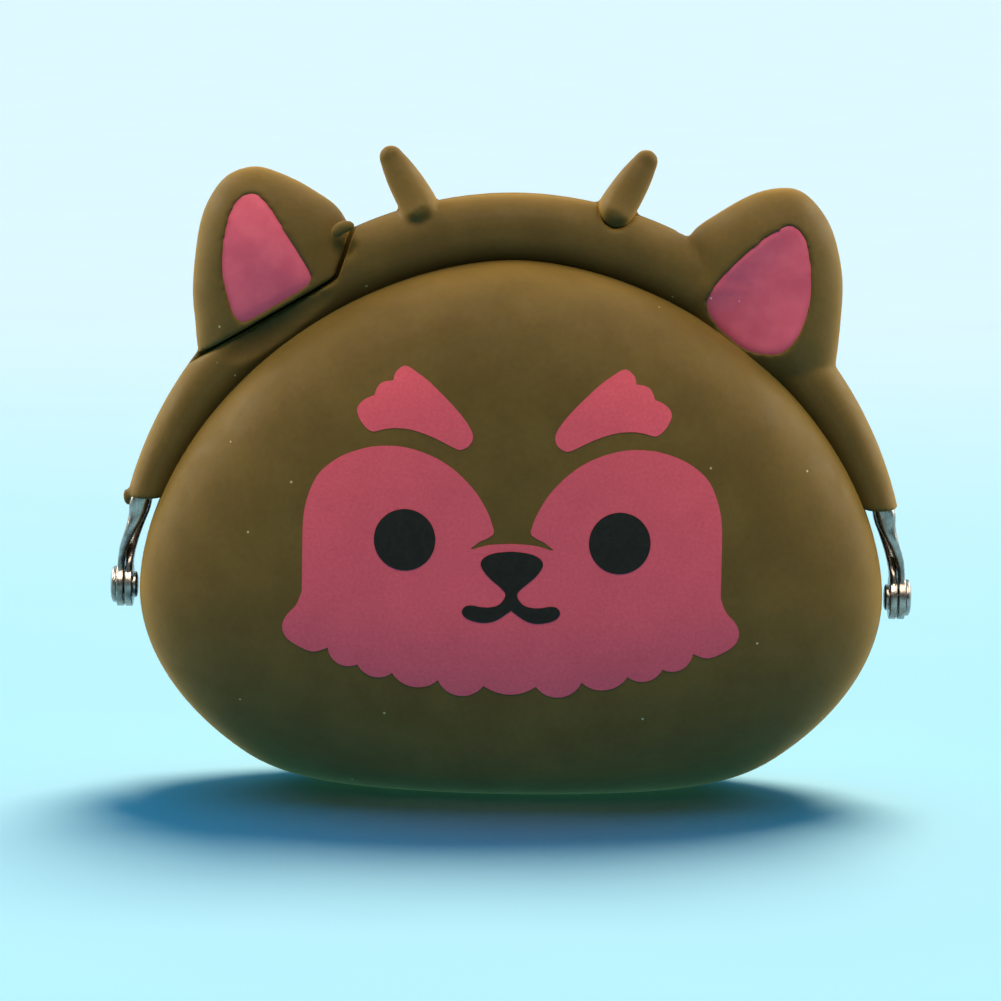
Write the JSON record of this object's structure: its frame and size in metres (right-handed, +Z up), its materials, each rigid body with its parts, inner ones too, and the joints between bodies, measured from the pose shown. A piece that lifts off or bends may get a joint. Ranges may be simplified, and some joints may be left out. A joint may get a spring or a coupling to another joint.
{
  "type": "silicone coin purse",
  "caption": "Silicone coin purse shaped as an animal's head, with ears and a sprung steel frame that opens along the top rim.",
  "frame": {"origin": "middle of the flat base's underside", "axes": "+Z up, +X to the right as the printed face is looked at, and the face looks to -Y"},
  "size_m": [0.11, 0.04, 0.0885],
  "materials": {
    "olive_silicone": "matt moulded silicone",
    "pink_silicone": "matt silicone",
    "nickel_steel": "bright nickel plate"
  },
  "bodies": {
    "pouch": {"pouch_bowl": "olive_silicone", "hinge_rivet_left": "nickel_steel", "hinge_rivet_right": "nickel_steel"},
    "front_half": {"front_belly": "olive_silicone", "front_wall": "olive_silicone", "front_rim_sleeve": "olive_silicone", "front_bow": "nickel_steel", "front_prong": "nickel_steel", "right_ear_inlay": "pink_silicone"},
    "rear_half": {"rear_belly": "olive_silicone", "rear_wall": "olive_silicone", "rear_rim_sleeve": "olive_silicone", "rear_bow": "nickel_steel", "rear_prong": "nickel_steel", "left_ear_inlay": "pink_silicone"}
  },
  "joints": [
    {"name": "front_rim_hinge", "type": "hinge", "parent": "pouch", "child": "front_half", "pos_m": [0, 0, 0.027], "axis": [1, 0, 0], "range_deg": [0, 40], "stiffness_Nm_per_rad": 0.05, "springref_deg": -11.46, "deforming": ["front_belly"]},
    {"name": "rear_rim_hinge", "type": "hinge", "parent": "pouch", "child": "rear_half", "pos_m": [0, 0, 0.027], "axis": [1, 0, 0], "range_deg": [-40, 0], "deforming": ["rear_belly"]}
  ],
  "couplings": [
    {"joint": "rear_rim_hinge", "follows": "front_rim_hinge", "ratio": -1}
  ]
}
